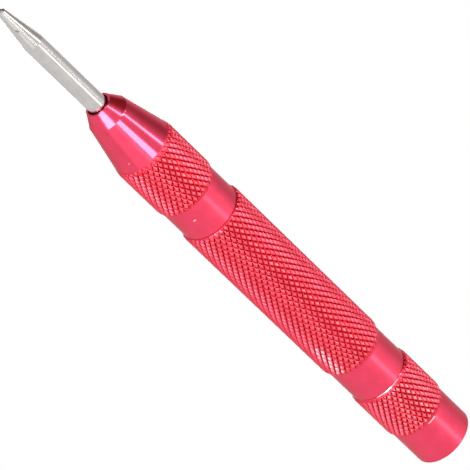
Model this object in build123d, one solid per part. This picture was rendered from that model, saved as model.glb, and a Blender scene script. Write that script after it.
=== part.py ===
from build123d import *
import math
import os

# Spring-loaded automatic center punch, millimetres.
# +Z runs along the tool, from the flat rear face of the cap (z = 0) to the tip.

# Overall sizes
TOTAL_LENGTH = 130.0
BODY_R = 5.85              # plain turned bands of cap, barrel and nose
BARREL_LENGTH = 50.0
POINT_R = 1.87             # shank of the hardened point

# Lengths of the three turned sleeves
CAP_LENGTH = 20.2          # rear face to the seam with the barrel
NOSE_LENGTH = 32.1         # seam with the barrel to the front rim

# Knurled zones stand a little above the plain bands
CAP_KNURL_R = BODY_R + 0.37
BARREL_KNURL_R = BODY_R + 0.43
NOSE_KNURL_R = BODY_R + 0.36
CAP_PLAIN_END = 8.4
CAP_SLOPE = 1.1
CAP_FRONT_CHAMFER = 0.9
BAND_LENGTH = 7.6
BAND_SLOPE = 1.3
BARREL_FRONT_CHAMFER = 0.35
COLLAR_LENGTH = 7.1
COLLAR_SLOPE = 0.8
NOSE_KNURL_END = 18.7      # from the barrel seam to the start of the main cone
MAIN_CONE_LENGTH = 10.7
MAIN_CONE_END_R = 4.05
RIM_WIDTH = 0.38
EDGE_BREAK = 0.1

# Screwed connections, drawn at their crest diameter
THREAD_WALL = 0.9          # barrel wall left outside the thread
THREAD_R = BODY_R - THREAD_WALL
THREAD_PITCH = 1.0
THREAD_DEPTH = 0.6
THREAD_CLEARANCE = 0.05
THREAD_RUNOUT = 1.8        # undercut between the shoulder and the full thread
THREAD_LEAD = 0.5
NOSE_SPIGOT = 8.15
CAP_TURNS = 4              # turns that the cap unscrews to lighten the blow
CAP_ENGAGEMENT = 8.0       # thread still engaged with the cap fully out
CAP_SPIGOT = CAP_ENGAGEMENT + CAP_TURNS * THREAD_PITCH

# Clearances
RUNNING = 0.07             # hammer in the barrel bore
GUIDE = 0.08               # point shank in the nose
COLLAR_CLEARANCE = 0.1     # point collar in the nose chamber
SEAT_GAP = 0.02            # faces that are pressed together
SPRING_CLEARANCE = 0.1
BORE_RELIEF = 1.8          # barrel thread bore past the end of the cap spigot
MOUTH_CHAMFER = 0.2

# Point and nose bore
STROKE = 7.0
MOUTH_R = POINT_R + 0.3
MOUTH_DEPTH = 2.0
NOSE_SPIGOT_WALL = 1.35
CHAMBER_R = THREAD_R - NOSE_SPIGOT_WALL
SHOULDER_BACK = 10.3       # front rim back to the shoulder that stops the point
COLLAR_BODY = 10.0
COLLAR_EDGE = 0.3
TAPER_LENGTH = 8.8
TAPER_END_R = 0.73         # base of the 90 degree tip
FOOT_R = 2.0
FOOT_GAP = 0.05
SOCKET_R = 2.3

# Trip pin and throat
PIN_TILT = 2.2             # lean of the pin at rest, degrees
PIN_THIN_R = 0.9
PIN_STEM_R = 1.55
PIN_FLANGE_CLEARANCE = 0.6
PIN_FLANGE_R = CHAMBER_R - PIN_FLANGE_CLEARANCE
PIN_FLANGE_T = 1.5
PIN_THIN_LENGTH = 6.4
PIN_CONE_LENGTH = 1.5
PIN_THICK_LENGTH = STROKE  # full-width stem between the cone and the flange
PIN_FOOT_LENGTH = 8.0      # flange back face to the pivot
PIN_END_GAP = 0.07
THROAT_R = 2.1
LEAD_IN_DEPTH = 1.5
BUSH_T = 4.0
BUSH_CLEARANCE = 0.1
BUSH_R = THREAD_R + THREAD_CLEARANCE - BUSH_CLEARANCE

# Hammer
BORE_STEP = 0.9            # shoulder that the bush is clamped against
HAMMER_BORE_R = THREAD_R - BORE_STEP
HAMMER_LENGTH = 18.0
HAMMER_HOLE_R = PIN_THIN_R + 0.1
HAMMER_HOLE_DEPTH = 9.0
HAMMER_DRILL_ANGLE = 30.0
HAMMER_SPIGOT = 3.0
HAMMER_EDGE = 0.4

# Springs, cap bore and spring seat
CAP_SPIGOT_WALL = 1.15
CAP_BORE_R = THREAD_R - CAP_SPIGOT_WALL
CAP_END_WALL = 3.0
DRIVE_WIRE = 1.2
DRIVE_MEAN_R = CAP_BORE_R - SPRING_CLEARANCE - DRIVE_WIRE / 2
DRIVE_TURNS = 15.5
RETURN_WIRE = 0.5
RETURN_OVERHANG = 0.2      # spring's outside past the rim of the pin's flange
RETURN_MEAN_R = PIN_FLANGE_R + RETURN_OVERHANG - RETURN_WIRE / 2
RETURN_TURNS = 7.0
RETURN_LEAN_GAP = 0.15     # lets the leaning flange clear the ground end
LEAD_IN_R = RETURN_MEAN_R - RETURN_WIRE / 2 - SPRING_CLEARANCE
SEAT_T = 2.0
SEAT_BOSS = 2.5
SEAT_EDGE = 0.3
BOSS_CLEARANCE = 0.2
BOSS_R = DRIVE_MEAN_R - DRIVE_WIRE / 2 - BOSS_CLEARANCE

# Positions along the tool that follow from the sizes above
REAR_SEAM = CAP_LENGTH
FRONT_SEAM = REAR_SEAM + BARREL_LENGTH
RIM = FRONT_SEAM + NOSE_LENGTH
SHOULDER = RIM - SHOULDER_BACK
BUSH_FRONT = FRONT_SEAM - NOSE_SPIGOT - SEAT_GAP
BUSH_REAR = BUSH_FRONT - BUSH_T
HAMMER_FRONT = BUSH_REAR - SEAT_GAP
HAMMER_REAR = HAMMER_FRONT - HAMMER_LENGTH
SEAT_REAR = CAP_END_WALL + SEAT_GAP
SEAT_FRONT = SEAT_REAR + SEAT_T
COLLAR_FRONT = SHOULDER - SEAT_GAP
COLLAR_REAR = COLLAR_FRONT - COLLAR_BODY
PIVOT = COLLAR_REAR + FOOT_R
PIN_REAR = BUSH_REAR + PIN_END_GAP
PIN_SHOULDER = PIN_REAR + PIN_THIN_LENGTH
PIN_FLANGE_REAR = PIVOT - PIN_FOOT_LENGTH


def turned(points):
    """Solid of revolution about Z from (radius, z) points."""
    outline = Polyline(*points, close=True)
    face = make_face(Plane.XZ * outline)
    return revolve(face, Axis.Z)


def ground_spring(rear, front, mean_r, wire, turns):
    """Round-wire compression spring with both ends ground flat."""
    length = front - rear
    path = Helix(length / turns, length, mean_r, center=(0, 0, rear))
    section = Plane(origin=path @ 0, z_dir=path % 0) * Circle(wire / 2)
    coil = sweep(section, path=path, is_frenet=True)
    envelope = Pos(0, 0, (rear + front) / 2) * Cylinder(mean_r + wire, length)
    return coil & envelope


def adjusting_cap():
    knurl_start = CAP_PLAIN_END + CAP_SLOPE
    knurl_end = CAP_LENGTH - CAP_FRONT_CHAMFER
    seam = REAR_SEAM - SEAT_GAP
    spigot_end = seam + CAP_SPIGOT
    return turned([
        (0, 0),
        (BODY_R - EDGE_BREAK, 0),
        (BODY_R, EDGE_BREAK),
        (BODY_R, CAP_PLAIN_END),
        (CAP_KNURL_R, knurl_start),
        (CAP_KNURL_R, knurl_end),
        (BODY_R, seam),
        (THREAD_R - THREAD_DEPTH, seam),
        (THREAD_R - THREAD_DEPTH, seam + THREAD_RUNOUT - THREAD_DEPTH),
        (THREAD_R, seam + THREAD_RUNOUT),
        (THREAD_R, spigot_end - THREAD_LEAD),
        (THREAD_R - THREAD_LEAD, spigot_end),
        (CAP_BORE_R + EDGE_BREAK, spigot_end),
        (CAP_BORE_R, spigot_end - EDGE_BREAK),
        (CAP_BORE_R, CAP_END_WALL),
        (0, CAP_END_WALL),
    ])


def barrel():
    thread_bore = THREAD_R + THREAD_CLEARANCE
    rear_bore_end = REAR_SEAM + CAP_SPIGOT + BORE_RELIEF
    band_end = REAR_SEAM + BAND_LENGTH
    return turned([
        (thread_bore + MOUTH_CHAMFER, REAR_SEAM),
        (BODY_R - EDGE_BREAK, REAR_SEAM),
        (BODY_R, REAR_SEAM + EDGE_BREAK),
        (BODY_R, band_end),
        (BARREL_KNURL_R, band_end + BAND_SLOPE),
        (BARREL_KNURL_R, FRONT_SEAM - BARREL_FRONT_CHAMFER),
        (BARREL_KNURL_R - BARREL_FRONT_CHAMFER, FRONT_SEAM),
        (thread_bore + MOUTH_CHAMFER, FRONT_SEAM),
        (thread_bore, FRONT_SEAM - MOUTH_CHAMFER),
        (thread_bore, BUSH_REAR - SEAT_GAP),
        (HAMMER_BORE_R, BUSH_REAR - SEAT_GAP),
        (HAMMER_BORE_R, rear_bore_end),
        (thread_bore, rear_bore_end),
        (thread_bore, REAR_SEAM + MOUTH_CHAMFER),
    ])


def nose():
    seam = FRONT_SEAM + SEAT_GAP
    collar_end = FRONT_SEAM + COLLAR_LENGTH
    cone_start = FRONT_SEAM + NOSE_KNURL_END
    cone_end = cone_start + MAIN_CONE_LENGTH
    spigot_end = FRONT_SEAM - NOSE_SPIGOT
    return turned([
        (MOUTH_R, RIM),
        (MOUTH_R + RIM_WIDTH, RIM),
        (MAIN_CONE_END_R, cone_end),
        (NOSE_KNURL_R, cone_start),
        (NOSE_KNURL_R, collar_end + COLLAR_SLOPE),
        (BODY_R, collar_end),
        (BODY_R, seam + EDGE_BREAK),
        (BODY_R - EDGE_BREAK, seam),
        (THREAD_R - THREAD_DEPTH, seam),
        (THREAD_R - THREAD_DEPTH, seam - THREAD_RUNOUT + THREAD_DEPTH),
        (THREAD_R, seam - THREAD_RUNOUT),
        (THREAD_R, spigot_end + THREAD_LEAD),
        (THREAD_R - THREAD_LEAD, spigot_end),
        (CHAMBER_R, spigot_end),
        (CHAMBER_R, SHOULDER),
        (POINT_R + GUIDE, SHOULDER),
        (POINT_R + GUIDE, RIM - MOUTH_DEPTH),
        (MOUTH_R, RIM - MOUTH_DEPTH),
    ])


def punch_point():
    tip_base = TOTAL_LENGTH - TAPER_END_R
    collar_r = CHAMBER_R - COLLAR_CLEARANCE
    socket_end = PIVOT + FOOT_R + FOOT_GAP
    return turned([
        (0, TOTAL_LENGTH),
        (TAPER_END_R, tip_base),
        (POINT_R, tip_base - TAPER_LENGTH),
        (POINT_R, COLLAR_FRONT),
        (collar_r - COLLAR_EDGE, COLLAR_FRONT),
        (collar_r, COLLAR_FRONT - COLLAR_EDGE),
        (collar_r, COLLAR_REAR + COLLAR_EDGE),
        (collar_r - COLLAR_EDGE, COLLAR_REAR),
        (SOCKET_R + COLLAR_EDGE, COLLAR_REAR),
        (SOCKET_R, COLLAR_REAR + COLLAR_EDGE),
        (SOCKET_R, socket_end),
        (0, socket_end),
    ])


def trip_pin():
    flange_front = PIN_FLANGE_REAR + PIN_FLANGE_T
    cone_end = PIN_FLANGE_REAR - PIN_THICK_LENGTH
    cone_start = cone_end - PIN_CONE_LENGTH
    stem = turned([
        (0, PIN_REAR),
        (PIN_THIN_R - EDGE_BREAK, PIN_REAR),
        (PIN_THIN_R, PIN_REAR + EDGE_BREAK),
        (PIN_THIN_R, PIN_SHOULDER),
        (PIN_STEM_R, PIN_SHOULDER),
        (PIN_STEM_R, cone_start),
        (FOOT_R, cone_end),
        (FOOT_R, PIN_FLANGE_REAR),
        (PIN_FLANGE_R, PIN_FLANGE_REAR),
        (PIN_FLANGE_R, flange_front),
        (FOOT_R, flange_front),
        (FOOT_R, PIVOT),
        (0, PIVOT),
    ])
    straight = stem + Pos(0, 0, PIVOT) * Sphere(FOOT_R)
    return Pos(0, 0, PIVOT) * Rot(0, PIN_TILT, 0) * Pos(0, 0, -PIVOT) * straight


def trip_bush():
    return turned([
        (THROAT_R, BUSH_REAR),
        (BUSH_R - MOUTH_CHAMFER, BUSH_REAR),
        (BUSH_R, BUSH_REAR + MOUTH_CHAMFER),
        (BUSH_R, BUSH_FRONT - MOUTH_CHAMFER),
        (BUSH_R - MOUTH_CHAMFER, BUSH_FRONT),
        (LEAD_IN_R, BUSH_FRONT),
        (THROAT_R, BUSH_FRONT - LEAD_IN_DEPTH),
    ])


def return_spring():
    rear = BUSH_FRONT + SEAT_GAP
    front = PIN_FLANGE_REAR - RETURN_LEAN_GAP
    return ground_spring(rear, front, RETURN_MEAN_R, RETURN_WIRE, RETURN_TURNS)


def hammer():
    hammer_r = HAMMER_BORE_R - RUNNING
    spigot_rear = HAMMER_REAR - HAMMER_SPIGOT
    hole_end = HAMMER_FRONT - HAMMER_HOLE_DEPTH
    return turned([
        (0, spigot_rear),
        (BOSS_R - HAMMER_EDGE, spigot_rear),
        (BOSS_R, spigot_rear + HAMMER_EDGE),
        (BOSS_R, HAMMER_REAR),
        (hammer_r - HAMMER_EDGE, HAMMER_REAR),
        (hammer_r, HAMMER_REAR + HAMMER_EDGE),
        (hammer_r, HAMMER_FRONT - HAMMER_EDGE),
        (hammer_r - HAMMER_EDGE, HAMMER_FRONT),
        (HAMMER_HOLE_R, HAMMER_FRONT),
        (HAMMER_HOLE_R, hole_end),
        (0, hole_end - HAMMER_HOLE_R * math.tan(math.radians(HAMMER_DRILL_ANGLE))),
    ])


def drive_spring():
    rear = SEAT_FRONT + SEAT_GAP
    front = HAMMER_REAR - SEAT_GAP
    return ground_spring(rear, front, DRIVE_MEAN_R, DRIVE_WIRE, DRIVE_TURNS)


def spring_seat():
    seat_r = CAP_BORE_R - SPRING_CLEARANCE
    boss_end = SEAT_FRONT + SEAT_BOSS
    return turned([
        (0, SEAT_REAR),
        (seat_r - SEAT_EDGE, SEAT_REAR),
        (seat_r, SEAT_REAR + SEAT_EDGE),
        (seat_r, SEAT_FRONT),
        (BOSS_R, SEAT_FRONT),
        (BOSS_R, boss_end - SEAT_EDGE),
        (BOSS_R - SEAT_EDGE, boss_end),
        (0, boss_end),
    ])


PARTS = {
    "adjusting_cap": adjusting_cap,
    "barrel": barrel,
    "nose": nose,
    "punch_point": punch_point,
    "trip_pin": trip_pin,
    "trip_bush": trip_bush,
    "return_spring": return_spring,
    "hammer": hammer,
    "drive_spring": drive_spring,
    "spring_seat": spring_seat,
}

os.makedirs("parts", exist_ok=True)
for name, make in PARTS.items():
    export_step(make(), f"parts/{name}.step")
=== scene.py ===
"""Looks of a spring-loaded centre punch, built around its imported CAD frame.

Sizes are millimetres. +Z runs along the tool, from the flat rear face of the cap to the tip.
"""

import logging
import math
from collections.abc import Sequence
from dataclasses import dataclass
from enum import Enum

import bmesh
import bpy
from mathutils import Matrix, Vector


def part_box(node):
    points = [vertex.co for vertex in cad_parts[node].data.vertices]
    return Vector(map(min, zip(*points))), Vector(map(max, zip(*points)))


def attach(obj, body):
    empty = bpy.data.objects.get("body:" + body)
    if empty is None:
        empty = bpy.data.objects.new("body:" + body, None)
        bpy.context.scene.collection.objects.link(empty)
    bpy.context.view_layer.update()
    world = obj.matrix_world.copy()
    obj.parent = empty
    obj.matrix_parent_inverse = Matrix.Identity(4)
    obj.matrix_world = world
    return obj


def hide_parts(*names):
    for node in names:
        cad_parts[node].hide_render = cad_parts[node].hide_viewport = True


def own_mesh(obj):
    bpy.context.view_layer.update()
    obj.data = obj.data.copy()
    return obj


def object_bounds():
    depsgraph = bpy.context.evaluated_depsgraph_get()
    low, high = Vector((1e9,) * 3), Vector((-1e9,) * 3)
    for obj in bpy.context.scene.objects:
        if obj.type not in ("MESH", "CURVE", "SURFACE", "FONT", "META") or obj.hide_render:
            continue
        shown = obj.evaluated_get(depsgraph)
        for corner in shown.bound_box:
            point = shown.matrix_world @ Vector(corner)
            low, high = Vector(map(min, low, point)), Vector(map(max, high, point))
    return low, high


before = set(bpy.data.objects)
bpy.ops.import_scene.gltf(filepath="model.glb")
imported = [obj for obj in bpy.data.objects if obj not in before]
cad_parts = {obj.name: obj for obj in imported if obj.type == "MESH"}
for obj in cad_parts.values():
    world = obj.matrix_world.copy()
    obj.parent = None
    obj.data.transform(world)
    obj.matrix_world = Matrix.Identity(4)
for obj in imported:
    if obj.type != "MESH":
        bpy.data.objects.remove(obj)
cad_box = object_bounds()

log = logging.getLogger("centre_punch")

MM = 0.001
HALF_TURN = math.pi
FULL_TURN = 2 * math.pi
AXIS = (0, 0, 1)
ORIGIN = (0, 0, 0)
MIX_SHARE, MIX_FIRST, MIX_SECOND = 0, 6, 7

Tint = tuple[float, float, float]


class SleeveSurface(Enum):
    """How a face of a red sleeve was finished. The value is its material slot."""

    SATIN = 0
    KNURLED = 1
    POLISHED = 2
    BORED = 3


class PointSurface(Enum):
    """How a face of the steel point was finished. The value is its material slot."""

    GROUND = 0
    TAPERED = 1
    TURNED = 2


@dataclass(frozen=True)
class Pass:
    """One straight pass of the turning tool: where it ends and the finish it leaves.

    Attributes:
        radius: Radius at the end of the pass.
        z: Place along the tool at the end of the pass.
        surface: Finish of the face that the pass leaves.
    """

    radius: float
    z: float
    surface: Enum


@dataclass
class Ring:
    """An open round end of a workpiece, from which the next pass grows.

    Attributes:
        edges: The edges round the end.
        radius: Their radius.
        z: Their place along the tool.
    """

    edges: list[bmesh.types.BMEdge]
    radius: float
    z: float


@dataclass(frozen=True)
class DiamondKnurl:
    """A diamond knurl, as two wheels of opposite hand press it.

    Attributes:
        starts: Grooves of each hand round the sleeve.
        pitch: Length of one diamond along the tool.
        depth: Height from groove to crest.
        flank: Share of a diamond's width at each line across it, with its share of the depth.
    """

    starts: int = 36
    pitch: float = 2.02
    depth: float = 0.30
    flank: tuple[tuple[float, float], ...] = (
        (0.0, 0.0), (0.12, 0.56), (0.27, 0.94), (0.5, 1.0), (0.73, 0.94), (0.88, 0.56),
    )

    def line(self, count: int) -> tuple[float, float]:
        """Gives one line across the diamonds of a row.

        Args:
            count: Number of the line, from the start of the row.

        Returns:
            Its distance along the row in diamonds, and its share of the depth.
        """
        whole, step = divmod(count, len(self.flank))
        share, height = self.flank[step]
        return whole + share, height


@dataclass(frozen=True)
class KnurledBand:
    """A knurled stretch of a sleeve, cut off at both ends where a slope meets the grooves.

    Attributes:
        rear: Place where the rear slope leaves the plain band.
        rear_top: Place where the rear slope reaches the crests.
        front: Place where the front slope reaches the next plain face.
        front_top: Place where the front slope leaves the crests.
        crest: Radius over the crests.
        rear_radius: Radius of the plain face behind the band.
        front_radius: Radius of the plain face in front of it.
        knurl: The pattern.
    """

    rear: float
    rear_top: float
    front: float
    front_top: float
    crest: float
    rear_radius: float
    front_radius: float
    knurl: DiamondKnurl = DiamondKnurl()

    @property
    def valley(self) -> float:
        """Radius at the bottom of the grooves."""
        return self.crest - self.knurl.depth

    @property
    def rear_rise(self) -> float:
        """Rise of the rear slope for each millimetre along the tool."""
        return (self.crest - self.rear_radius) / (self.rear_top - self.rear)

    @property
    def front_rise(self) -> float:
        """Fall of the front slope for each millimetre along the tool."""
        return (self.crest - self.front_radius) / (self.front - self.front_top)

    @property
    def rear_cut(self) -> float:
        """Place where the rear slope is as low as the grooves."""
        return self.rear_top - self.knurl.depth / self.rear_rise

    @property
    def front_cut(self) -> float:
        """Place where the front slope is as low as the grooves."""
        return self.front_top + self.knurl.depth / self.front_rise

    def radius(self, z: float, height: float) -> float:
        """Gives the radius of a point on the knurled skin.

        Args:
            z: Place along the tool.
            height: Share of the groove depth at that point.

        Returns:
            The radius, no higher than the slopes at the ends.
        """
        rear = self.valley + (z - self.rear_cut) * self.rear_rise
        front = self.valley + (self.front_cut - z) * self.front_rise
        return min(rear, front, self.valley + self.knurl.depth * height)


class Lathe:
    """A workpiece that grows ring by ring, the way a turning tool goes round it."""

    def __init__(self) -> None:
        """Chucks an empty workpiece."""
        self.work = bmesh.new()

    def everything(self) -> list:
        """Returns every vertex, edge and face of the work."""
        return [*self.work.verts, *self.work.edges, *self.work.faces]

    def blank(self, radius: float, z: float, peak: float, segments: int, surface: Enum) -> Ring:
        """Starts the work with a closed end.

        Args:
            radius: Radius of the ring that the end closes.
            z: Place of that ring.
            peak: Place of the end's centre.
            segments: Number of sides round the ring.
            surface: Finish of the end.

        Returns:
            The ring.
        """
        made = bmesh.ops.create_circle(
            self.work, cap_ends=True, cap_tris=True, segments=segments, radius=radius,
            matrix=Matrix.Translation((0, 0, z)),
        )
        for face in self.work.faces:
            face.material_index = surface.value
        centre = min(made["verts"], key=lambda vert: vert.co.xy.length)
        centre.co.z = peak
        edges = [edge for edge in self.work.edges if edge.is_boundary]
        return Ring(edges, radius, z)

    def knurl(self, band: KnurledBand, surface: Enum) -> tuple[Ring, Ring]:
        """Starts the work with a knurled skin: one helical row of diamonds, repeated round the axis.

        Args:
            band: Place and size of the knurl.
            surface: Finish of its faces.

        Returns:
            The rear ring and the front ring.
        """
        pattern, work = band.knurl, self.work
        lines = len(pattern.flank)
        half_pitch = pattern.pitch / 2
        half_grid = 0.5
        row = (math.ceil((band.front_cut - band.rear_cut) / half_pitch) + 1) * lines
        bmesh.ops.create_grid(work, x_segments=row, y_segments=lines, size=half_grid)
        for vert in work.verts:
            along, height_along = pattern.line(round((vert.co.x + half_grid) * row))
            across, height_across = pattern.line(round((vert.co.y + half_grid) * lines))
            z = band.rear_cut + (along - across) * half_pitch
            turn = (along + across) * HALF_TURN / pattern.starts
            radius = band.radius(z, min(height_along, height_across))
            vert.co = (radius * math.cos(turn), radius * math.sin(turn), z)
        for z, outward in ((band.rear_cut, -1), (band.front_cut, 1)):
            cut = bmesh.ops.bisect_plane(
                work, geom=self.everything(), dist=0.01, plane_co=(0, 0, z),
                plane_no=(0, 0, outward), clear_outer=True,
            )
            for vert in cut["geom_cut"]:
                if isinstance(vert, bmesh.types.BMVert):
                    vert.co.xy = vert.co.xy.normalized() * band.valley
                    vert.co.z = z
        copies = pattern.starts - 1
        bmesh.ops.spin(
            work, geom=self.everything(), cent=ORIGIN, axis=AXIS, dvec=ORIGIN,
            angle=FULL_TURN * copies / pattern.starts, steps=copies, use_duplicate=True,
        )
        bmesh.ops.remove_doubles(work, verts=work.verts[:], dist=0.004)
        for face in work.faces:
            face.material_index = surface.value
        middle = (band.rear_cut + band.front_cut) / 2
        open_edges = [edge for edge in work.edges if edge.is_boundary]
        rear = [edge for edge in open_edges if edge.verts[0].co.z < middle]
        front = [edge for edge in open_edges if edge.verts[0].co.z > middle]
        return Ring(rear, band.valley, band.rear_cut), Ring(front, band.valley, band.front_cut)

    def turn(self, ring: Ring, passes: Sequence[Pass]) -> Ring:
        """Grows the work from an open ring, one pass after another.

        Args:
            ring: The ring to start from.
            passes: The passes, in order.

        Returns:
            The ring at the end of the last pass.
        """
        for step in passes:
            for edge in ring.edges:
                edge.smooth = False
            grown = bmesh.ops.extrude_edge_only(self.work, edges=ring.edges)["geom"]
            verts = [item for item in grown if isinstance(item, bmesh.types.BMVert)]
            share = step.radius / ring.radius
            bmesh.ops.scale(self.work, vec=(share, share, 1), verts=verts)
            bmesh.ops.translate(self.work, vec=(0, 0, step.z - ring.z), verts=verts)
            for item in grown:
                if isinstance(item, bmesh.types.BMFace):
                    item.material_index = step.surface.value
            new = set(verts)
            edges = [
                item for item in grown
                if isinstance(item, bmesh.types.BMEdge) and new.issuperset(item.verts)
            ]
            ring = Ring(edges, step.radius, step.z)
        return ring

    def close(self, ring: Ring, surface: Enum, core: float = 0.3) -> None:
        """Faces a flat end from its open ring to the axis.

        Args:
            ring: The ring round the end.
            surface: Finish of the end.
            core: Radius of the last ring, which shrinks to a point.
        """
        last = self.turn(ring, [Pass(core, ring.z, surface)])
        verts = list({vert for edge in last.edges for vert in edge.verts})
        bmesh.ops.pointmerge(self.work, verts=verts, merge_co=(0, 0, last.z))

    def join(self, rear: Ring, front: Ring, surface: Enum) -> None:
        """Closes a bore between two rings.

        Args:
            rear: The ring at its rear end.
            front: The ring at its front end.
            surface: Finish of the bore.
        """
        made = bmesh.ops.bridge_loops(self.work, edges=rear.edges + front.edges)
        for face in made["faces"]:
            face.material_index = surface.value

    def part_off(self, name: str, materials: Sequence[bpy.types.Material], crease: float) -> bpy.types.Object:
        """Makes the finished work an object in metres.

        Args:
            name: Name of the piece.
            materials: Its materials, in the order of its surfaces.
            crease: Angle in degrees past which an edge stays sharp.

        Returns:
            The object, at the origin with its place in its mesh.
        """
        bmesh.ops.recalc_face_normals(self.work, faces=self.work.faces[:])
        bmesh.ops.scale(self.work, vec=(MM, MM, MM), verts=self.work.verts[:])
        for edge in self.work.edges:
            edge.smooth = edge.smooth and edge.calc_face_angle(0.0) < math.radians(crease)
        for face in self.work.faces:
            face.smooth = True
        mesh = bpy.data.meshes.new(name)
        self.work.to_mesh(mesh)
        self.work.free()
        for material in materials:
            mesh.materials.append(material)
        piece = bpy.data.objects.new(name, mesh)
        bpy.context.scene.collection.objects.link(piece)
        mesh.calc_loop_triangles()
        log.info("%s: %d triangles", name, len(mesh.loop_triangles))
        return piece


class Level:
    """A number socket of a node tree, so that shader maths reads as plain arithmetic."""

    def __init__(self, bench: "NodeBench", socket: bpy.types.NodeSocket) -> None:
        """Wraps a socket.

        Args:
            bench: The bench whose tree holds it.
            socket: The output socket.
        """
        self.bench = bench
        self.socket = socket

    def math(self, operation: str, *terms: "Level | float") -> "Level":
        """Adds one Math node.

        Args:
            operation: The node's operation.
            *terms: What goes into its sockets, in order.

        Returns:
            The result.
        """
        node = self.bench.add("ShaderNodeMath", {"operation": operation}, dict(enumerate(terms)))
        return Level(self.bench, node.outputs[0])

    def __add__(self, other: "Level | float") -> "Level":
        """Sum."""
        return self.math("ADD", self, other)

    __radd__ = __add__

    def __sub__(self, other: "Level | float") -> "Level":
        """Difference."""
        return self.math("SUBTRACT", self, other)

    def __rsub__(self, other: "Level | float") -> "Level":
        """Difference from a number."""
        return self.math("SUBTRACT", other, self)

    def __mul__(self, other: "Level | float") -> "Level":
        """Product."""
        return self.math("MULTIPLY", self, other)

    __rmul__ = __mul__

    def __pow__(self, other: "Level | float") -> "Level":
        """Power."""
        return self.math("POWER", self, other)

    def rise(self, low: float, high: float) -> "Level":
        """Turns the number into a mask.

        Args:
            low: Where the mask is 0.
            high: Where it is 1.

        Returns:
            A smooth step between the two.
        """
        node = self.bench.add(
            "ShaderNodeMapRange", {"interpolation_type": "SMOOTHSTEP"},
            {"Value": self, "From Min": low, "From Max": high},
        )
        return Level(self.bench, node.outputs[0])

    def swing(self, amount: float) -> "Level":
        """Returns how far a 0 to 1 pattern swings from its middle, times an amount."""
        return amount * (self - 0.5)


class NodeBench:
    """A node tree under construction."""

    def __init__(self, owner: bpy.types.Material | bpy.types.World) -> None:
        """Clears a material's or world's tree.

        Args:
            owner: What the tree belongs to.
        """
        owner.use_nodes = True
        self.tree = owner.node_tree
        self.tree.nodes.clear()

    def add(self, kind: str, settings: dict | None = None, values: dict | None = None) -> bpy.types.Node:
        """Adds a node.

        Args:
            kind: Its type.
            settings: Its own settings, set first.
            values: Numbers, colours, levels or sockets for its inputs, by name or number.

        Returns:
            The node.
        """
        node = self.tree.nodes.new(kind)
        for key, setting in (settings or {}).items():
            setattr(node, key, setting)
        for key, value in (values or {}).items():
            if isinstance(value, Level):
                value = value.socket
            if isinstance(value, bpy.types.NodeSocket):
                self.tree.links.new(value, node.inputs[key])
            else:
                node.inputs[key].default_value = value
        return node

    def place(self) -> bpy.types.NodeSocket:
        """Returns the place on the piece, in millimetres."""
        place = self.add("ShaderNodeTexCoord").outputs["Object"]
        return self.vector("SCALE", place, Scale=1 / MM)

    def vector(self, operation: str, *terms: object, **others: object) -> bpy.types.NodeSocket:
        """Adds one Vector Math node.

        Args:
            operation: The node's operation.
            *terms: What goes into its first sockets.
            **others: Sockets given by name.

        Returns:
            Its vector result, or its number where the operation gives one.
        """
        values = {**dict(enumerate(terms)), **others}
        node = self.add("ShaderNodeVectorMath", {"operation": operation}, values)
        return node.outputs["Value" if operation in ("DOT_PRODUCT", "DISTANCE", "LENGTH") else "Vector"]

    def turned(self, place: bpy.types.NodeSocket) -> tuple[Level, Level]:
        """Reads a place the way a lathe does.

        Args:
            place: The place on the piece.

        Returns:
            Its place along the tool, and its distance from the axis.
        """
        node = self.add("ShaderNodeSeparateXYZ", None, {0: place})
        x, y, z = (Level(self, socket) for socket in node.outputs)
        return z, (x * x + y * y) ** 0.5

    def noise(self, waves: float, detail: float, **inputs: object) -> Level:
        """Adds a noise pattern.

        Args:
            waves: Waves for each millimetre.
            detail: Number of finer layers.
            **inputs: Vector for a solid pattern, or W for one along a line.

        Returns:
            The pattern, from 0 to 1.
        """
        kind = {"noise_dimensions": "1D" if "W" in inputs else "3D"}
        values = {"Scale": waves, "Detail": detail, **inputs}
        return Level(self, self.add("ShaderNodeTexNoise", kind, values).outputs[0])

    def blend(self, share: Level, first: object, second: object, mode: str = "MIX") -> bpy.types.NodeSocket:
        """Mixes two colours.

        Args:
            share: Share of the second.
            first: A colour or its socket.
            second: A colour or its socket.
            mode: The way they mix.

        Returns:
            The mixed colour.
        """
        settings = {"data_type": "RGBA", "blend_type": mode}
        values = {MIX_SHARE: share, MIX_FIRST: first, MIX_SECOND: second}
        return self.add("ShaderNodeMix", settings, values).outputs[2]

    def bump(self, height: Level) -> bpy.types.NodeSocket:
        """Turns a height into a normal.

        Args:
            height: Height in millimetres.

        Returns:
            The bumped normal.
        """
        return self.add("ShaderNodeBump", None, {"Height": height, "Distance": MM}).outputs[0]

    def metal(self, sockets: dict) -> None:
        """Ends a material's tree with a metal.

        Args:
            sockets: What goes into the shader's sockets, by name.
        """
        shader = self.add("ShaderNodeBsdfPrincipled", None, {"Metallic": 1.0, **sockets})
        self.add("ShaderNodeOutputMaterial", None, {"Surface": shader.outputs[0]})


def colour(red: float, green: float, blue: float) -> tuple[float, float, float, float]:
    """Returns an opaque colour."""
    return red, green, blue, 1.0


@dataclass(frozen=True)
class RoundMark:
    """A small knock or a rubbed place that bares the metal; on the cap some of these marks paint a highlight.

    Attributes:
        radius: Its distance from the axis, in millimetres.
        angle: Degrees from -Y towards -X.
        z: Its place along the tool.
        size: How far it reaches.
    """

    radius: float
    angle: float
    z: float
    size: float

    @property
    def spot(self) -> tuple[float, float, float]:
        """Its place on the tool."""
        turn = math.radians(self.angle)
        return -self.radius * math.sin(turn), -self.radius * math.cos(turn), self.z


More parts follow.
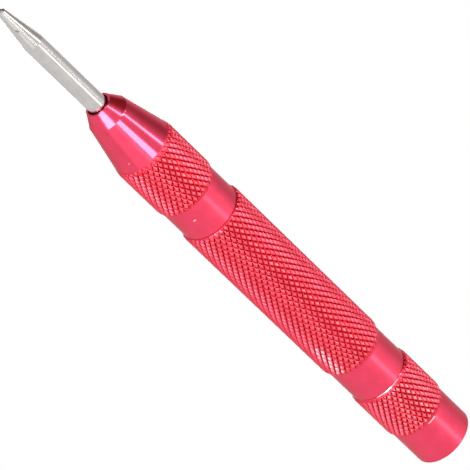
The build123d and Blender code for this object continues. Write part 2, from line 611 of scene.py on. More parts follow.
@dataclass(frozen=True)
class RedAnodising:
    """Red anodising on turned aluminium.

    Attributes:
        name: Name of the material.
        roughness: Mean roughness.
        line_depth: Depth of the turning lines, in millimetres.
        grain_depth: Depth of the etched grain, in millimetres.
        face_marks: Knocks and rubbed places; on the cap also marks that paint a highlight.
        band: The knurl that the dye covers, if any.
        crest_wear_and_highlight: Share of its crests given the uncovered-metal colour: dye worn off by
            handling, and a painted highlight that whitens them.
        painted_interreflection: Share of the dye's blue taken out as a painted reflection of light bounced
            between faces that mirror each other; the seal thins by the same share.
        deep: Colour of the dye where it took well.
        thin: Colour of the dye where it took less.
        ridge: Colour on top of the turning lines.
        ridge_cover: How much of that colour shows.
        groove: Colour of the painted shade that darkens the bottom of the knurl.
        groove_shade_cover: How much of that painted shade shows.
        bare_metal_and_highlight: Colour where the dye is gone, also used for painted highlights on crests and
            edges.
        sheen: Tint of the reflections towards its outline.
        seal: Weight of the clear seal over the dye.
        seal_ior: Index of refraction of the seal.
        seal_gloss: Roughness of the seal, as a share of the dye's.
        face_feed: Turning lines across a flat face, for each one along the sleeve.
    """

    name: str
    roughness: float
    line_depth: float
    grain_depth: float
    face_marks: tuple[RoundMark, ...] = ()
    band: KnurledBand | None = None
    crest_wear_and_highlight: float = 0.0
    painted_interreflection: float = 0.0
    deep: Tint = (0.735, 0.026, 0.085)
    thin: Tint = (0.785, 0.033, 0.102)
    ridge: Tint = (0.88, 0.052, 0.120)
    ridge_cover: float = 0.25
    groove: Tint = (0.26, 0.004, 0.014)
    groove_shade_cover: float = 0.72
    bare_metal_and_highlight: Tint = (0.93, 0.62, 0.66)
    sheen: Tint = (0.75, 0.22, 0.30)
    seal: float = 0.56
    seal_ior: float = 1.6
    seal_gloss: float = 0.8
    face_feed: float = 1.3

    def material(self) -> bpy.types.Material:
        """Builds the material.

        Returns:
            The material.
        """
        made = bpy.data.materials.new(self.name)
        bench = NodeBench(made)
        place = bench.place()
        z, radius = bench.turned(place)
        lines = bench.noise(waves=7.0, detail=4.0, W=z + self.face_feed * radius)
        grain = bench.noise(waves=9.0, detail=3.0, Vector=place)
        cloud = bench.noise(waves=0.35, detail=2.0, Vector=place)
        # Painted reflection: blue comes out of the dye to stand in for light bounced between the knurl's
        # facets; the seal thins by the same share.
        blue = 1 - self.painted_interreflection
        deep, thin = (colour(*tint[:2], tint[2] * blue) for tint in (self.deep, self.thin))
        dye = bench.blend(cloud.rise(low=0.3, high=0.7), deep, thin)
        dye = bench.blend(self.ridge_cover * lines.rise(low=0.35, high=0.75), dye, colour(*self.ridge))
        proud = None
        if self.band:
            depth = self.band.knurl.depth
            # Painted shade: the knurl's grooves are darkened towards the groove colour, darker the deeper a
            # place lies below the skin.
            bottom = self.sunk(z, radius).rise(low=0.45 * depth, high=0.93 * depth)
            dye = bench.blend(self.groove_shade_cover * bottom, dye, colour(*self.groove))
            proud = 1 - (self.band.crest - radius).rise(low=0.01, high=0.09)
        bare_and_highlight = self.bare_and_highlight(bench, place, proud)
        bench.metal({
            "Base Color": bench.blend(bare_and_highlight, dye, colour(*self.bare_metal_and_highlight)) if bare_and_highlight else dye,
            "Roughness": self.roughness + grain.swing(0.12) + cloud.swing(0.10),
            "Normal": bench.bump(self.line_depth * lines + self.grain_depth * grain),
            "Specular Tint": colour(*self.sheen),
            "Coat Weight": self.seal * blue,
            "Coat IOR": self.seal_ior,
            "Coat Roughness": self.seal_gloss * self.roughness,
        })
        return made

    def sunk(self, z: Level, radius: Level) -> Level:
        """Measures how far below the skin of the knurl a place lies.

        Args:
            z: Place along the sleeve.
            radius: Distance from the axis.

        Returns:
            The depth, in millimetres.
        """
        band = self.band
        rear = (z - band.rear_cut) * band.rear_rise + band.valley
        front = (band.front_cut - z) * band.front_rise + band.valley
        skin = rear.math("MINIMUM", rear, front)
        return skin.math("MINIMUM", skin, band.crest) - radius

    def bare_and_highlight(self, bench: NodeBench, place: bpy.types.NodeSocket, proud: Level | None) -> Level | None:
        """Masks where the uncovered-metal colour goes: where the dye is rubbed or knocked off, and painted
        highlights on the knurl's crests and on some marks.

        Args:
            bench: The bench.
            place: Place on the sleeve.
            proud: Mask of the knurl's crests, or None on a plain face.

        Returns:
            The mask, or None where the dye is whole.
        """
        masks = []
        for round_mark in self.face_marks:
            gap = Level(bench, bench.vector("DISTANCE", place, round_mark.spot))
            ragged = gap + bench.noise(waves=3.0 / round_mark.size, detail=2.0, Vector=place).swing(round_mark.size)
            masks.append(1 - ragged.rise(low=0.45 * round_mark.size, high=round_mark.size))
        # On the knurl's crests the uncovered-metal colour stands for dye worn off by handling, and it also
        # paints a highlight that whitens them.
        if proud:
            rubbed = bench.noise(waves=0.5, detail=3.0, Vector=place).rise(low=0.45, high=0.75)
            return sum(masks, self.crest_wear_and_highlight * (0.8 + rubbed)) * proud
        return sum(masks[1:], masks[0]) if masks else None


@dataclass(frozen=True)
class BrightSteel:
    """Hardened steel, ground or turned.

    Attributes:
        name: Name of the material.
        shade: Its colour.
        roughness: Mean roughness.
        ring_depth: Depth of the marks that run round it, in millimetres.
        streak_depth: Depth of the marks that run along it, in millimetres.
        scuffs: Knocks.
        grain_depth: Depth of its grain, in millimetres.
        face_feed: Rings across a flat face, for each one along the piece.
        stretch: Width of a streak, as a share of its length.
        mottle: Shares of clouds, streaks and grain in its change of colour.
        dull: Share of the colour that its dullest places keep.
        bright: Share of the colour that its brightest places reach.
        scuffed: Colour in a knock.
        scuff_cover: How much of that colour shows.
    """

    name: str
    shade: Tint
    roughness: float
    ring_depth: float = 0.0008
    streak_depth: float = 0.0
    scuffs: tuple[RoundMark, ...] = ()
    grain_depth: float = 0.00001
    face_feed: float = 1.2
    stretch: float = 0.03
    mottle: tuple[float, float, float] = (0.5, 0.3, 0.2)
    dull: float = 0.92
    bright: float = 1.06
    scuffed: Tint = (0.10, 0.09, 0.09)
    scuff_cover: float = 0.7

    def material(self) -> bpy.types.Material:
        """Builds the material.

        Returns:
            The material.
        """
        made = bpy.data.materials.new(self.name)
        bench = NodeBench(made)
        place = bench.place()
        z, radius = bench.turned(place)
        rings = bench.noise(waves=6.0, detail=4.0, W=z + self.face_feed * radius)
        drawn = bench.vector("MULTIPLY", place, (1.0, 1.0, self.stretch))
        streaks = bench.noise(waves=4.5, detail=4.0, Vector=drawn)
        grain = bench.noise(waves=7.0, detail=3.0, Vector=place)
        cloud = bench.noise(waves=0.6, detail=2.0, Vector=place)
        dark = colour(*(self.dull * part for part in self.shade))
        light = colour(*(self.bright * part for part in self.shade))
        clouded, streaked, grained = self.mottle
        mottle = clouded * cloud + streaked * streaks + grained * grain
        tint = bench.blend(mottle.rise(low=0.35, high=0.65), dark, light)
        for scuff in self.scuffs:
            gap = Level(bench, bench.vector("DISTANCE", place, scuff.spot))
            mark = 1 - gap.rise(low=scuff.size / 2, high=scuff.size)
            tint = bench.blend(self.scuff_cover * mark, tint, colour(*self.scuffed))
        height = self.ring_depth * rings + self.streak_depth * streaks + self.grain_depth * grain
        bench.metal({
            "Base Color": tint,
            "Roughness": self.roughness + grain.swing(0.03) + streaks.swing(0.06),
            "Normal": bench.bump(height),
        })
        return made


@dataclass(frozen=True)
class Span:
    """A CAD node's place and size, in millimetres.

    Attributes:
        rear: Its rearmost place.
        front: Its foremost place.
        radius: Its largest radius.
    """

    rear: float
    front: float
    radius: float

    @classmethod
    def of(cls, node: str) -> "Span":
        """Reads a node's span from the frame.

        Args:
            node: Name of the CAD node.

        Returns:
            Its span.
        """
        low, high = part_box(node)
        return cls(low.z / MM, high.z / MM, high.x / MM)


@dataclass
class Sleeve:
    """What the three red sleeves share.

    Attributes:
        plain_radius: Radius of the plain bands.
        edge: Break on the sharp corners.
        thread_radius: Radius over the thread of a screwed spigot.
        thread_depth: Depth of that thread.
        thread_runout: Undercut between the shoulder and the full thread.
        seam_gap: Gap between two faces that are screwed together.
        crease: Angle in degrees past which an edge of it stays sharp.
    """

    plain_radius: float = 5.85
    edge: float = 0.1
    thread_radius: float = 4.95
    thread_depth: float = 0.6
    thread_runout: float = 1.8
    seam_gap: float = 0.02
    crease: float = 28

    def plain_band(self, slope: float, end: float) -> list[Pass]:
        """Gives the passes down a plain band to its broken rear edge.

        Args:
            slope: Place where the knurl's rear slope leaves the band.
            end: Place of the rear face.

        Returns:
            The passes.
        """
        return [
            Pass(self.plain_radius, slope, SleeveSurface.SATIN),
            Pass(self.plain_radius, end + self.edge, SleeveSurface.SATIN),
            Pass(self.plain_radius - self.edge, end, SleeveSurface.POLISHED),
        ]

    def finishes(
        self, name: str, band: KnurledBand, crest_wear_and_highlight: float, face_marks: tuple[RoundMark, ...], knurl_marks: tuple[RoundMark, ...],
    ) -> list[bpy.types.Material]:
        """Makes a sleeve's materials, in the order of its surfaces.

        Args:
            name: The sleeve's name.
            band: Its knurl.
            crest_wear_and_highlight: Share of the knurl's crests given the uncovered-metal colour: dye worn
                by handling, and a painted highlight.
            face_marks: Knocks on its plain and polished faces; on the cap also marks that paint a highlight.
            knurl_marks: Rubbed places on its knurl; on the cap also marks that paint a highlight.

        Returns:
            The four materials.
        """
        kinds = (
            RedAnodising(
                f"{name}_satin", roughness=0.34, line_depth=0.0008, grain_depth=0.0007, face_marks=face_marks,
            ),
            RedAnodising(
                f"{name}_knurled", roughness=0.28, line_depth=0.0, grain_depth=0.0020, face_marks=knurl_marks,
                band=band, crest_wear_and_highlight=crest_wear_and_highlight, painted_interreflection=0.30,
            ),
            RedAnodising(
                f"{name}_polished", roughness=0.13, line_depth=0.0005, grain_depth=0.0004, face_marks=face_marks,
            ),
            RedAnodising(f"{name}_bored", roughness=0.40, line_depth=0.0040, grain_depth=0.0010),
        )
        return [kind.material() for kind in kinds]


@dataclass
class Nose(Sleeve):
    """The front sleeve: collar, knurl and two cones, with the bore for the point.

    Attributes:
        collar_length: Plain collar in front of the barrel seam.
        collar_slope: Length of its slope up to the knurl.
        knurl_end: Seam to the start of the main cone.
        cone_length: Length of the main cone.
        cone_end_radius: Radius where the steep cone starts.
        mouth_radius: Radius of the hole's mouth.
        mouth_depth: Depth of the mouth.
        rim_width: Width of the flat rim round it.
        guide_radius: Bore that guides the point.
        chamber_radius: Bore that holds the point's collar.
        shoulder_back: Rim back to the shoulder that stops the point.
    """

    collar_length: float = 7.1
    collar_slope: float = 0.8
    knurl_end: float = 18.7
    cone_length: float = 10.7
    cone_end_radius: float = 4.05
    mouth_radius: float = 2.17
    mouth_depth: float = 2.0
    rim_width: float = 0.38
    guide_radius: float = 1.95
    chamber_radius: float = 3.6
    shoulder_back: float = 10.3

    def build(self) -> None:
        """Turns, knurls and dresses the sleeve."""
        span = Span.of("nose")
        barrel_front = Span.of("barrel").front
        seam = barrel_front + self.seam_gap
        collar_end = barrel_front + self.collar_length
        cone_start = barrel_front + self.knurl_end
        cone_end = cone_start + self.cone_length
        rim_radius = self.mouth_radius + self.rim_width
        shoulder = span.front - self.shoulder_back
        root = self.thread_radius - self.thread_depth
        kind = SleeveSurface
        lathe = Lathe()
        band = KnurledBand(
            rear=collar_end, rear_top=collar_end + self.collar_slope, front=cone_end,
            front_top=cone_start, crest=span.radius, rear_radius=self.plain_radius,
            front_radius=self.cone_end_radius,
        )
        rear, front = lathe.knurl(band, kind.KNURLED)
        rear = lathe.turn(rear, [
            *self.plain_band(collar_end, seam),
            Pass(root, seam, kind.BORED),
            Pass(root, span.rear, kind.BORED),
            Pass(self.chamber_radius, span.rear, kind.BORED),
        ])
        front = lathe.turn(front, [
            Pass(self.cone_end_radius, cone_end, kind.POLISHED),
            Pass(rim_radius, span.front, kind.POLISHED),
            Pass(self.mouth_radius, span.front, kind.POLISHED),
            Pass(self.mouth_radius, span.front - self.mouth_depth, kind.BORED),
            Pass(self.guide_radius, span.front - self.mouth_depth, kind.BORED),
            Pass(self.guide_radius, shoulder, kind.BORED),
            Pass(self.chamber_radius, shoulder, kind.BORED),
        ])
        lathe.join(rear, front, kind.BORED)
        knocks = (
            RoundMark(self.plain_radius, angle=27, z=collar_end - 2.55, size=0.18),
            RoundMark(self.plain_radius, angle=30, z=collar_end - 2.6, size=0.20),
            RoundMark(radius=5.55, angle=40, z=cone_start + 3.2, size=0.15),
            RoundMark(radius=4.10, angle=-38, z=cone_end - 0.1, size=0.17),
            RoundMark(radius=4.05, angle=-26, z=cone_end, size=0.14),
        )
        knurl_marks = (
            RoundMark(radius=6.10, angle=6, z=cone_start + 0.7, size=0.80),
            RoundMark(radius=6.15, angle=-12, z=cone_start + 0.5, size=0.70),
        )
        materials = self.finishes("nose", band, crest_wear_and_highlight=0.15, face_marks=knocks, knurl_marks=knurl_marks)
        piece = lathe.part_off("nose_sleeve", materials, self.crease)
        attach(piece, "body")
        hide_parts("nose")


@dataclass
class Barrel(Sleeve):
    """The long knurled grip between nose and cap.

    Attributes:
        band_length: Plain band beside the cap.
        band_slope: Length of its slope up to the knurl.
        front_chamfer: Chamfer at the nose seam.
        thread_bore: Radius of the bore behind the threads.
        mouth_chamfer: Chamfer of the bore's mouths.
        hammer_gap: Gap round the hammer.
        spigot_room: Length of the wide bore in front of the cap's spigot.
        rub_angle: Where the rubbed patch lies, in degrees from -Y towards -X.
        rub_steps: Places of its rubbed marks along the knurl.
        rub_size: How far each reaches.
    """

    band_length: float = 7.6
    band_slope: float = 1.3
    front_chamfer: float = 0.35
    thread_bore: float = 5.0
    mouth_chamfer: float = 0.2
    hammer_gap: float = 0.07
    spigot_room: float = 1.82
    rub_angle: float = 46
    rub_steps: tuple[float, ...] = (0.8, 2.6, 4.6, 6.6)
    rub_size: float = 1.6

    def build(self) -> None:
        """Turns, knurls and dresses the sleeve."""
        span = Span.of("barrel")
        bush, hammer = Span.of("trip_bush"), Span.of("hammer")
        bush_seat = bush.rear - self.seam_gap
        hammer_bore = hammer.radius + self.hammer_gap
        spigot_relief = Span.of("adjusting_cap").front + self.spigot_room
        band_end = span.rear + self.band_length
        mouth = self.thread_bore + self.mouth_chamfer
        kind = SleeveSurface
        lathe = Lathe()
        band = KnurledBand(
            rear=band_end, rear_top=band_end + self.band_slope, front=span.front,
            front_top=span.front - self.front_chamfer, crest=span.radius,
            rear_radius=self.plain_radius, front_radius=span.radius - self.front_chamfer,
        )
        rear, front = lathe.knurl(band, kind.KNURLED)
        rear = lathe.turn(rear, [
            *self.plain_band(band_end, span.rear),
            Pass(mouth, span.rear, kind.BORED),
            Pass(self.thread_bore, span.rear + self.mouth_chamfer, kind.BORED),
            Pass(self.thread_bore, spigot_relief, kind.BORED),
            Pass(hammer_bore, spigot_relief, kind.BORED),
        ])
        front = lathe.turn(front, [
            Pass(span.radius - self.front_chamfer, span.front, kind.POLISHED),
            Pass(mouth, span.front, kind.BORED),
            Pass(self.thread_bore, span.front - self.mouth_chamfer, kind.BORED),
            Pass(self.thread_bore, bush_seat, kind.BORED),
            Pass(hammer_bore, bush_seat, kind.BORED),
        ])
        lathe.join(rear, front, kind.BORED)
        knurl_marks = tuple(
            RoundMark(span.radius, self.rub_angle, band.rear_top + step, self.rub_size) for step in self.rub_steps
        )
        materials = self.finishes("barrel", band, crest_wear_and_highlight=0.12, face_marks=(), knurl_marks=knurl_marks)
        piece = lathe.part_off("barrel_sleeve", materials, self.crease)
        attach(piece, "body")
        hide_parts("barrel")


@dataclass
class AdjustingCap(Sleeve):
    """The rear cap, whose screwed spigot sets the force of the blow.

    Attributes:
        plain_end: Length of the plain end.
        slope: Length of its slope up to the knurl.
        front_chamfer: Chamfer at the barrel seam.
        end_wall: Thickness of the end.
        bore_radius: Bore for the drive spring.
        thread_lead: Chamfer at the thread's start.
        thread_pitch: Pitch of the thread.
        edge_chips_and_highlight: Angle and size of each chip along the front edge; together they also paint
            the edge's bright highlight.
        highlight_arc_angles: Angles of the small marks that paint a highlight as a bright arc behind the
            knurl.
    """

    plain_end: float = 8.4
    slope: float = 1.1
    front_chamfer: float = 0.9
    end_wall: float = 3.0
    bore_radius: float = 3.8
    thread_lead: float = 0.5
    thread_pitch: float = 1.0
    edge_chips_and_highlight: tuple[tuple[float, float], ...] = (
        (-16, 0.6), (-10, 1.0), (-3, 1.3), (6, 1.1), (14, 1.3), (22, 0.9), (28, 0.6),
    )
    highlight_arc_angles: Sequence[float] = range(-15, 0, 2)

    def build(self) -> None:
        """Turns, knurls, threads and dresses the cap."""
        span = Span.of("adjusting_cap")
        seam = Span.of("barrel").rear - self.seam_gap
        root = self.thread_radius - self.thread_depth
        kind = SleeveSurface
        lathe = Lathe()
        band = KnurledBand(
            rear=self.plain_end, rear_top=self.plain_end + self.slope, front=seam,
            front_top=seam + self.seam_gap - self.front_chamfer, crest=span.radius,
            rear_radius=self.plain_radius, front_radius=self.plain_radius,
        )
        rear, front = lathe.knurl(band, kind.KNURLED)
        rear = lathe.turn(rear, self.plain_band(self.plain_end, span.rear))
        lathe.close(rear, kind.SATIN, core=0.4)
        front = lathe.turn(front, [
            Pass(self.plain_radius, seam, kind.POLISHED),
            Pass(root, seam, kind.BORED),
            Pass(root, span.front, kind.BORED),
            Pass(self.bore_radius, span.front, kind.BORED),
            Pass(self.bore_radius, self.end_wall, kind.BORED),
        ])
        lathe.close(front, kind.BORED)
        arc = self.plain_end + 0.08
        # Chipped dye along the front edge; the same marks also paint the edge's bright highlight.
        marks = [RoundMark(radius=6.0, angle=angle, z=seam - 0.35, size=size) for angle, size in self.edge_chips_and_highlight]
        # Painted highlight: a row of small marks in the uncovered-metal colour draws the bright arc behind
        # the knurl.
        marks += [RoundMark(radius=5.88, angle=angle, z=arc, size=0.24) for angle in self.highlight_arc_angles]
        materials = self.finishes("cap", band, crest_wear_and_highlight=0.26, face_marks=tuple(marks), knurl_marks=tuple(marks))
        cap = lathe.part_off("cap_sleeve", materials, self.crease)
        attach(cap, "cap")
        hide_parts("adjusting_cap")
        start = seam + self.thread_runout
        turns = (span.front - self.thread_lead - start) / self.thread_pitch - 1
        thread = ScrewThread(
            root, crest=self.thread_radius, pitch=self.thread_pitch,
            start=start + self.thread_pitch / 2, turns=turns,
        )
        ridge = thread.build("cap_thread", [materials[kind.POLISHED.value]])
        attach(ridge, "cap")


@dataclass(frozen=True)
class ScrewThread:
    """The ridge of a right-hand external thread.

    Attributes:
        root: Radius at its foot.
        crest: Radius at its top.
        pitch: Length of one turn.
        start: Place of its rear end.
        turns: Number of turns.
        land: Width of its flat top.
        flare: Half its width at the foot, as a share of the pitch.
        sink: How far its foot goes into the core.
        steps: Sides round one turn.
    """

    root: float
    crest: float
    pitch: float
    start: float
    turns: float
    land: float = 0.12
    flare: float = 0.44
    sink: float = 0.05
    steps: int = 72

    def build(self, name: str, materials: Sequence[bpy.types.Material]) -> bpy.types.Object:
        """Cuts the ridge.

        Args:
            name: Name of the piece.
            materials: Its materials.

        Returns:
            The piece.
        """
        lathe = Lathe()
        work = lathe.work
        bmesh.ops.create_grid(work, x_segments=1, y_segments=1, size=1)
        for vert in work.verts:
            top = vert.co.x > 0
            half = self.land / 2 if top else self.flare * self.pitch
            radius = self.crest if top else self.root - self.sink
            vert.co = (radius, 0, self.start + math.copysign(half, vert.co.y))
        count = round(self.turns * self.steps)
        section = bmesh.ops.duplicate(work, geom=lathe.everything())["geom"]
        bmesh.ops.spin(
            work, geom=section, cent=ORIGIN, axis=AXIS, dvec=(0, 0, self.pitch / self.steps),
            angle=FULL_TURN * count / self.steps, steps=count, use_duplicate=False,
        )
        bmesh.ops.remove_doubles(work, verts=work.verts[:], dist=0.001)
        return lathe.part_off(name, materials, crease=30)


@dataclass
class HardenedPoint:
    """The steel point: tip, taper, shank and the collar that holds it in the nose.

    Attributes:
        shank_radius: Radius of the shank.
        tip_base_radius: Radius where the tip's cone starts.
        tip_flat: Radius of the worn very end.
        tip_wear: How much shorter the tip has worn.
        taper_length: Length of the ground taper.
        collar_radius: Radius of the collar.
        collar_length: Length of the collar.
        collar_edge: Break on its corners.
        socket_radius: Socket for the trip pin's foot.
        socket_depth: Depth of that socket.
        segments: Sides round it.
    """

    shank_radius: float = 1.87
    tip_base_radius: float = 0.73
    tip_flat: float = 0.12
    tip_wear: float = 0.07
    taper_length: float = 8.8
    collar_radius: float = 3.5
    collar_length: float = 10.0
    collar_edge: float = 0.3
    socket_radius: float = 2.3
    socket_depth: float = 4.05
    segments: int = 96

    def build(self) -> None:
        """Turns, grinds and dresses the point."""
        span = Span.of("punch_point")
        kind = PointSurface
        tip_base = span.front - self.tip_base_radius
        taper_rear = tip_base - self.taper_length
        collar_front = span.rear + self.collar_length
        edge = self.collar_edge
        lathe = Lathe()
        ring = lathe.blank(
            self.tip_flat, z=span.front - self.tip_flat, peak=span.front - self.tip_wear,
            segments=self.segments, surface=kind.TAPERED,
        )
        ring = lathe.turn(ring, [
            Pass(self.tip_base_radius, tip_base, kind.TAPERED),
            Pass(self.shank_radius, taper_rear, kind.TAPERED),
            Pass(self.shank_radius, collar_front, kind.GROUND),
            Pass(self.collar_radius - edge, collar_front, kind.TURNED),
            Pass(self.collar_radius, collar_front - edge, kind.TURNED),
            Pass(self.collar_radius, span.rear + edge, kind.TURNED),
            Pass(self.collar_radius - edge, span.rear, kind.TURNED),
            Pass(self.socket_radius + edge, span.rear, kind.TURNED),
            Pass(self.socket_radius, span.rear + edge, kind.TURNED),
            Pass(self.socket_radius, span.rear + self.socket_depth, kind.TURNED),
        ])
        lathe.close(ring, kind.TURNED)
        shade = (0.550, 0.525, 0.512)
        shank_scratches = (RoundMark(self.shank_radius, angle=2, z=taper_rear + 0.1, size=0.22),)
        taper_scratches = (
            RoundMark(radius=1.30, angle=21, z=tip_base - 4.4, size=0.26),
            RoundMark(radius=1.26, angle=27, z=tip_base - 4.1, size=0.22),
            RoundMark(radius=0.30, angle=0, z=span.front - 0.25, size=0.30),
        )
        fine = 0.00004
        finishes = (
            BrightSteel("point_ground", shade, roughness=0.22, ring_depth=fine, streak_depth=fine,
                        scuffs=shank_scratches),
            BrightSteel("point_taper", shade, roughness=0.11, ring_depth=fine, streak_depth=fine,
                        scuffs=taper_scratches),
            BrightSteel("point_turned", shade, roughness=0.35, ring_depth=0.0030),
        )
        materials = [finish.material() for finish in finishes]
        piece = lathe.part_off("hardened_point", materials, crease=20)
        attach(piece, "point")
        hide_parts("punch_point")


@dataclass(frozen=True)
class CoilSpring:
    """A compression spring of round wire, with both ends ground flat.

    Attributes:
        name: Name of the piece.
        node: The CAD node that it stands for.
        body: The body that it rides on.
        joint: Name of the joint that would squeeze it; not used.
        wire: Diameter of the wire.
        turns: Number of turns.
        stroke: How far the joint would squeeze it; only worked into a share that nothing uses.
        steps: Sides round one turn.
        sides: Sides of the wire.
    """

    name: str
    node: str
    body: str
    joint: str
    wire: float
    turns: float
    stroke: float = 7.0
    steps: int = 36
    sides: int = 12

    def build(self, steel: bpy.types.Material) -> None:
        """Winds and grinds the spring.

        Args:
            steel: Its material.
        """
        span = Span.of(self.node)
        length = span.front - span.rear
        mean = span.radius - self.wire / 2
        lathe = Lathe()
        work = lathe.work
        bmesh.ops.create_circle(
            work, cap_ends=True, segments=self.sides, radius=self.wire / 2,
            matrix=Matrix.Translation((mean, 0, span.rear)) @ Matrix.Rotation(HALF_TURN / 2, 4, "X"),
        )
        count = round(self.turns * self.steps)
        bmesh.ops.spin(
            work, geom=lathe.everything(), cent=ORIGIN, axis=AXIS, dvec=(0, 0, length / count),
            angle=FULL_TURN * self.turns, steps=count, use_duplicate=False,
        )
        bmesh.ops.remove_doubles(work, verts=work.verts[:], dist=0.0005)
        for z, outward in ((span.rear, -1), (span.front, 1)):
            cut = bmesh.ops.bisect_plane(
                work, geom=lathe.everything(), dist=0.0005, plane_co=(0, 0, z),
                plane_no=(0, 0, outward), clear_outer=True,
            )
            edges = [item for item in cut["geom_cut"] if isinstance(item, bmesh.types.BMEdge)]
            bmesh.ops.holes_fill(work, edges=edges)
        piece = lathe.part_off(self.name, [steel], crease=40)
        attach(piece, self.body)
        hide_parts(self.node)
        keep = (length - self.stroke) / length
        span.rear * MM
        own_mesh(piece)


@dataclass(frozen=True)
class SteelInsides:
    """The hidden steel parts, whose CAD shapes stay and only get their finish.

    Attributes:
        nodes: Names of the CAD nodes, with the roughness of each.
        shade: Colour of their steel.
        ring_depth: Depth of its turning marks, in millimetres.
    """

    nodes: tuple[tuple[str, float], ...] = (
        ("hammer", 0.32), ("trip_pin", 0.24), ("trip_bush", 0.36), ("spring_seat", 0.38),
    )
    shade: Tint = (0.50, 0.49, 0.47)
    ring_depth: float = 0.0025

    def dress(self) -> None:
        """Gives each node its steel."""
        for name, roughness in self.nodes:
            steel = BrightSteel(f"{name}_steel", self.shade, roughness, self.ring_depth).material()
            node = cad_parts[name]
            if not node.material_slots:
                node.data.materials.append(steel)
            for slot in node.material_slots:
                slot.material = steel
            log.info("%s: dressed", name)


def toward(azimuth: float, elevation: float) -> Vector:
    """Gives a direction from the tool.

    Args:
        azimuth: Degrees from -Y towards +X.
        elevation: Degrees above the horizon.

    Returns:
        The direction.
    """
    a, e = math.radians(azimuth), math.radians(elevation)
    return Vector((math.sin(a) * math.cos(e), -math.cos(a) * math.cos(e), math.sin(e)))


@dataclass(frozen=True)
class StripLight:
    """A long softbox.

    Attributes:
        name: Its name.
        start: Azimuth and elevation of one end, in degrees.
        end: Azimuth and elevation of the other end.
        width: Its width in metres.
        glow: Brightness of its face, against 1 for the white tent.
        reach: Distance from the tool in metres.
        tint: Colour of its light.
    """

    name: str
    start: tuple[float, float]
    end: tuple[float, float]
    width: float
    glow: float
    reach: float = 0.6
    tint: Tint = (1.0, 1.0, 0.89)

    def hang(self, target: Vector) -> None:
        """Hangs the light.

        Args:
            target: What it faces.
        """
        first, last = toward(*self.start), toward(*self.end)
        back = (first + last).normalized()
        across = (last - first).normalized()
        length = 2 * self.reach * math.tan(first.angle(last) / 2)
        lamp = bpy.data.lights.new(self.name, "AREA")
        lamp.shape, lamp.size, lamp.size_y = "RECTANGLE", length, self.width
        lamp.energy = self.glow * math.pi * length * self.width
        lamp.color = self.tint
        light = bpy.data.objects.new(self.name, lamp)
        axes = Matrix((across, back.cross(across), back)).transposed()
        light.matrix_world = Matrix.Translation(target + self.reach * back) @ axes.to_4x4()
        light.visible_camera = False
        bpy.context.scene.collection.objects.link(light)


@dataclass(frozen=True)
class TentPatch:
    """A lighter or darker stretch of the white tent.

    Attributes:
        heading: Azimuth and elevation of its middle, in degrees.
        core: How far its full strength reaches, in degrees.
        rim: How far its last trace reaches, in degrees.
        tint: What the white is multiplied by.
    """

    heading: tuple[float, float]
    core: float
    rim: float
    tint: Tint


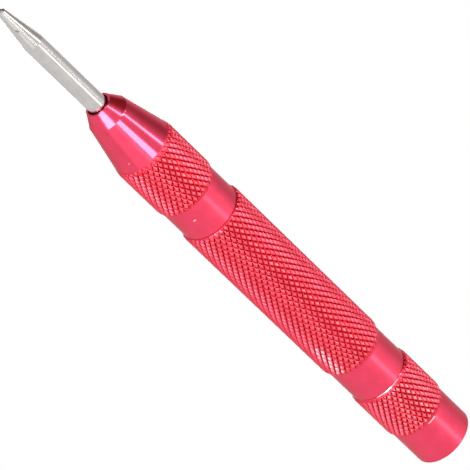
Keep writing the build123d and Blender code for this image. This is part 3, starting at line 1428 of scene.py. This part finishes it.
@dataclass
class Studio:
    """A white tent with softboxes, a pale seamless floor and the camera.

    Attributes:
        camera_height: Elevation of the camera, in degrees.
        camera_roll: Its roll, in degrees.
        camera_distance: Its distance in metres.
        lens: Focal length in millimetres.
        aim: Height on the tool's axis that the view is centred near.
        shift: Offset of the view's centre from there, right and up, in millimetres.
        floor_radius: Radius of the floor in metres.
        wall_height: Height of the wall round it.
        floor_gap: Gap under the tool, so that its end and the floor don't share a plane.
        sensor: Width of the camera's sensor in millimetres.
        sight: Nearest and farthest distance that the camera sees, in metres.
        patches: The tent's patches.
        strips: The softboxes.
    """

    camera_height: float = 34.7
    camera_roll: float = 46.1
    camera_distance: float = 1.1466
    lens: float = 505.0
    aim: float = 66.9
    shift: tuple[float, float] = (2.478, -2.064)
    floor_radius: float = 2.4
    wall_height: float = 2.6
    floor_gap: float = 0.0003
    sensor: float = 36.0
    sight: tuple[float, float] = (0.01, 20.0)
    patches: tuple[TentPatch, ...] = (
        TentPatch((100, 14), core=14, rim=52, tint=(0.29, 0.16, 0.11)),
        TentPatch((162, -12), core=48, rim=86, tint=(0.74, 0.74, 0.74)),
        TentPatch((-38, -3), core=12, rim=26, tint=(1.38, 1.38, 1.38)),
        TentPatch((-8, -7), core=3, rim=13, tint=(2.0, 2.0, 2.0)),
    )
    strips: tuple[StripLight, ...] = (
        StripLight("key_softbox", start=(-3, 5), end=(-53, 39), width=0.29, glow=9.0),
        StripLight("cone_softbox", start=(19, -7.8), end=(-1, -7.8), width=0.046, glow=9.5),
        StripLight("side_softbox", start=(34, 46), end=(57, -24), width=0.085, glow=7.5),
        StripLight("low_softbox", start=(22, -22), end=(40, -52), width=0.044, glow=3.8, reach=0.35),
        StripLight("rear_softbox", start=(178, -60), end=(-178, 5), width=0.16, glow=5.0),
    )

    def stand_camera(self) -> None:
        """Stands the camera at its view of the tool."""
        e, roll = math.radians(self.camera_height), math.radians(self.camera_roll)
        level = Vector((1, 0, 0))
        upright = Vector((0, math.sin(e), math.cos(e)))
        back = Vector((0, -math.cos(e), math.sin(e)))
        right = math.cos(roll) * level - math.sin(roll) * upright
        up = math.sin(roll) * level + math.cos(roll) * upright
        centre = Vector((0, 0, self.aim * MM)) + (self.shift[0] * right + self.shift[1] * up) * MM
        lens = bpy.data.cameras.new("camera")
        lens.lens, lens.sensor_width = self.lens, self.sensor
        lens.clip_start, lens.clip_end = self.sight
        camera = bpy.data.objects.new("camera", lens)
        axes = Matrix((right, up, back)).transposed()
        place = Matrix.Translation(centre + self.camera_distance * back)
        camera.matrix_world = place @ axes.to_4x4()
        bpy.context.scene.collection.objects.link(camera)
        bpy.context.scene.camera = camera

    def lay_floor(self) -> None:
        """Lays the pale floor, with a wall all round it."""
        paper = bpy.data.materials.new("seamless_paper")
        bench = NodeBench(paper)
        glow = bench.add("ShaderNodeEmission", None, {"Color": colour(1, 1, 1), "Strength": 1.0})
        bench.add("ShaderNodeOutputMaterial", None, {"Surface": glow.outputs[0]})
        paper.cycles.emission_sampling = "NONE"
        work = bmesh.new()
        bmesh.ops.create_circle(
            work, cap_ends=True, cap_tris=True, segments=64, radius=self.floor_radius,
            matrix=Matrix.Translation((0, 0, -self.floor_gap)),
        )
        rim = [edge for edge in work.edges if edge.is_boundary]
        grown = bmesh.ops.extrude_edge_only(work, edges=rim)["geom"]
        wall = [item for item in grown if isinstance(item, bmesh.types.BMVert)]
        bmesh.ops.translate(work, vec=(0, 0, self.wall_height), verts=wall)
        mesh = bpy.data.meshes.new("floor")
        work.to_mesh(mesh)
        work.free()
        mesh.materials.append(paper)
        floor = bpy.data.objects.new("floor", mesh)
        for sight in ("visible_glossy", "visible_diffuse", "visible_shadow", "visible_transmission"):
            setattr(floor, sight, False)
        bpy.context.scene.collection.objects.link(floor)

    def hang_lights(self) -> None:
        """Hangs the tent and its softboxes."""
        world = bpy.data.worlds.new("white_tent")
        bpy.context.scene.world = world
        bench = NodeBench(world)
        sight = bench.add("ShaderNodeTexCoord").outputs["Generated"]
        tent = colour(1, 1, 1)
        for patch in self.patches:
            middle = tuple(toward(*patch.heading))
            facing = Level(bench, bench.vector("DOT_PRODUCT", sight, middle))
            rim, core = (math.cos(math.radians(angle)) for angle in (patch.rim, patch.core))
            tent = bench.blend(facing.rise(rim, core), tent, colour(*patch.tint), "MULTIPLY")
        backdrop = bench.add("ShaderNodeBackground", None, {"Color": tent})
        bench.add("ShaderNodeOutputWorld", None, {"Surface": backdrop.outputs[0]})
        for strip in self.strips:
            strip.hang((cad_box[0] + cad_box[1]) / 2)

    def build(self) -> None:
        """Sets up camera, floor and lights."""
        self.stand_camera()
        self.lay_floor()
        self.hang_lights()
        bpy.context.scene.view_settings.view_transform = "Standard"


def main() -> None:
    """Builds the studio and every piece of the tool."""
    logging.basicConfig(level=logging.INFO, format="%(message)s")
    Studio().build()
    Nose().build()
    Barrel().build()
    AdjustingCap().build()
    HardenedPoint().build()
    finish = BrightSteel(
        "spring_wire", shade=(0.46, 0.45, 0.43), roughness=0.30, ring_depth=0.0, streak_depth=0.0015,
    )
    steel = finish.material()
    CoilSpring("drive_coil", "drive_spring", "seat", "hammer_slide", wire=1.2, turns=15.5).build(steel)
    CoilSpring("return_coil", "return_spring", "body", "point_slide", wire=0.5, turns=7.0).build(steel)
    SteelInsides().dress()


if __name__ == "__main__":
    main()
